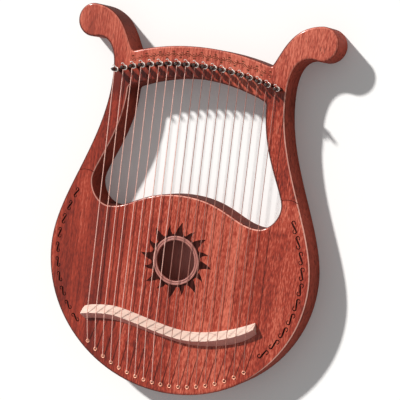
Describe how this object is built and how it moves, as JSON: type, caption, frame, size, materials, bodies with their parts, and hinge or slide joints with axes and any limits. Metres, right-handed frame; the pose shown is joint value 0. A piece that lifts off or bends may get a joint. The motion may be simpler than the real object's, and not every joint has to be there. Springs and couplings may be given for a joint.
{
  "type": "lyre harp",
  "caption": "Small lyre harp with curled horns, an arched crossbar of tuning pins, a shallow round sound box, an S-shaped bridge and steel strings.",
  "frame": {"origin": "middle of the back face: the centre of the bounding box's lowest side", "axes": "+X across the harp to the player's right seen from the front, +Y from the tail to the horns, +Z out of the front face"},
  "size_m": [0.374, 0.5027, 0.0665],
  "materials": {
    "mahogany": "clear satin-gloss lacquer over red mahogany",
    "mahogany_dark": "clear satin lacquer over darker red mahogany",
    "maple": "pale maple, lightly sealed",
    "ring_wood": "paler reddish wood ring, lacquered",
    "spruce": "bare spruce",
    "pin_steel": "nickel-plated steel",
    "string_steel": "bright steel wire",
    "ferrule_brass": "copper-toned brass eyelets",
    "inlay_dark": "dark brown burnt-in ornament"
  },
  "bodies": {
    "harp": {"left_arm": "mahogany", "right_arm": "mahogany", "crossbar": "mahogany", "soundboard": "mahogany", "back_board": "mahogany_dark", "box_top_rail": "mahogany_dark", "tail_block": "mahogany_dark", "bridge": "maple", "sound_hole_ring": "ring_wood", "upper_brace": "spruce", "lower_brace": "spruce", "string_01": "string_steel", "string_02": "string_steel", "string_03": "string_steel", "string_04": "string_steel", "string_05": "string_steel", "string_06": "string_steel", "string_07": "string_steel", "string_08": "string_steel", "string_09": "string_steel", "string_10": "string_steel", "string_11": "string_steel", "string_12": "string_steel", "string_13": "string_steel", "string_14": "string_steel", "string_15": "string_steel", "string_16": "string_steel", "string_17": "string_steel", "string_18": "string_steel", "string_19": "string_steel"},
    "pin_01": {"tuning_pin_01": "pin_steel"},
    "pin_02": {"tuning_pin_02": "pin_steel"},
    "pin_03": {"tuning_pin_03": "pin_steel"},
    "pin_04": {"tuning_pin_04": "pin_steel"},
    "pin_05": {"tuning_pin_05": "pin_steel"},
    "pin_06": {"tuning_pin_06": "pin_steel"},
    "pin_07": {"tuning_pin_07": "pin_steel"},
    "pin_08": {"tuning_pin_08": "pin_steel"},
    "pin_09": {"tuning_pin_09": "pin_steel"},
    "pin_10": {"tuning_pin_10": "pin_steel"},
    "pin_11": {"tuning_pin_11": "pin_steel"},
    "pin_12": {"tuning_pin_12": "pin_steel"},
    "pin_13": {"tuning_pin_13": "pin_steel"},
    "pin_14": {"tuning_pin_14": "pin_steel"},
    "pin_15": {"tuning_pin_15": "pin_steel"},
    "pin_16": {"tuning_pin_16": "pin_steel"},
    "pin_17": {"tuning_pin_17": "pin_steel"},
    "pin_18": {"tuning_pin_18": "pin_steel"},
    "pin_19": {"tuning_pin_19": "pin_steel"}
  },
  "joints": [
    {"name": "pin_01_turn", "type": "hinge", "parent": "harp", "child": "pin_01", "pos_m": [-0.11303, 0.1665, 0.042], "axis": [0, 0, 1], "continuous": true},
    {"name": "pin_02_turn", "type": "hinge", "parent": "harp", "child": "pin_02", "pos_m": [-0.10036, 0.17031, 0.042], "axis": [0, 0, 1], "continuous": true},
    {"name": "pin_03_turn", "type": "hinge", "parent": "harp", "child": "pin_03", "pos_m": [-0.08769, 0.17364, 0.042], "axis": [0, 0, 1], "continuous": true},
    {"name": "pin_04_turn", "type": "hinge", "parent": "harp", "child": "pin_04", "pos_m": [-0.07502, 0.1765, 0.042], "axis": [0, 0, 1], "continuous": true},
    {"name": "pin_05_turn", "type": "hinge", "parent": "harp", "child": "pin_05", "pos_m": [-0.06235, 0.1789, 0.042], "axis": [0, 0, 1], "continuous": true},
    {"name": "pin_06_turn", "type": "hinge", "parent": "harp", "child": "pin_06", "pos_m": [-0.04968, 0.18085, 0.042], "axis": [0, 0, 1], "continuous": true},
    {"name": "pin_07_turn", "type": "hinge", "parent": "harp", "child": "pin_07", "pos_m": [-0.03701, 0.18236, 0.042], "axis": [0, 0, 1], "continuous": true},
    {"name": "pin_08_turn", "type": "hinge", "parent": "harp", "child": "pin_08", "pos_m": [-0.02434, 0.18344, 0.042], "axis": [0, 0, 1], "continuous": true},
    {"name": "pin_09_turn", "type": "hinge", "parent": "harp", "child": "pin_09", "pos_m": [-0.01167, 0.18408, 0.042], "axis": [0, 0, 1], "continuous": true},
    {"name": "pin_10_turn", "type": "hinge", "parent": "harp", "child": "pin_10", "pos_m": [0.001, 0.1843, 0.042], "axis": [0, 0, 1], "continuous": true},
    {"name": "pin_11_turn", "type": "hinge", "parent": "harp", "child": "pin_11", "pos_m": [0.01367, 0.18408, 0.042], "axis": [0, 0, 1], "continuous": true},
    {"name": "pin_12_turn", "type": "hinge", "parent": "harp", "child": "pin_12", "pos_m": [0.02634, 0.18344, 0.042], "axis": [0, 0, 1], "continuous": true},
    {"name": "pin_13_turn", "type": "hinge", "parent": "harp", "child": "pin_13", "pos_m": [0.03901, 0.18236, 0.042], "axis": [0, 0, 1], "continuous": true},
    {"name": "pin_14_turn", "type": "hinge", "parent": "harp", "child": "pin_14", "pos_m": [0.05168, 0.18085, 0.042], "axis": [0, 0, 1], "continuous": true},
    {"name": "pin_15_turn", "type": "hinge", "parent": "harp", "child": "pin_15", "pos_m": [0.06435, 0.1789, 0.042], "axis": [0, 0, 1], "continuous": true},
    {"name": "pin_16_turn", "type": "hinge", "parent": "harp", "child": "pin_16", "pos_m": [0.07702, 0.1765, 0.042], "axis": [0, 0, 1], "continuous": true},
    {"name": "pin_17_turn", "type": "hinge", "parent": "harp", "child": "pin_17", "pos_m": [0.08969, 0.17364, 0.042], "axis": [0, 0, 1], "continuous": true},
    {"name": "pin_18_turn", "type": "hinge", "parent": "harp", "child": "pin_18", "pos_m": [0.10236, 0.17031, 0.042], "axis": [0, 0, 1], "continuous": true},
    {"name": "pin_19_turn", "type": "hinge", "parent": "harp", "child": "pin_19", "pos_m": [0.11503, 0.1665, 0.042], "axis": [0, 0, 1], "continuous": true}
  ]
}
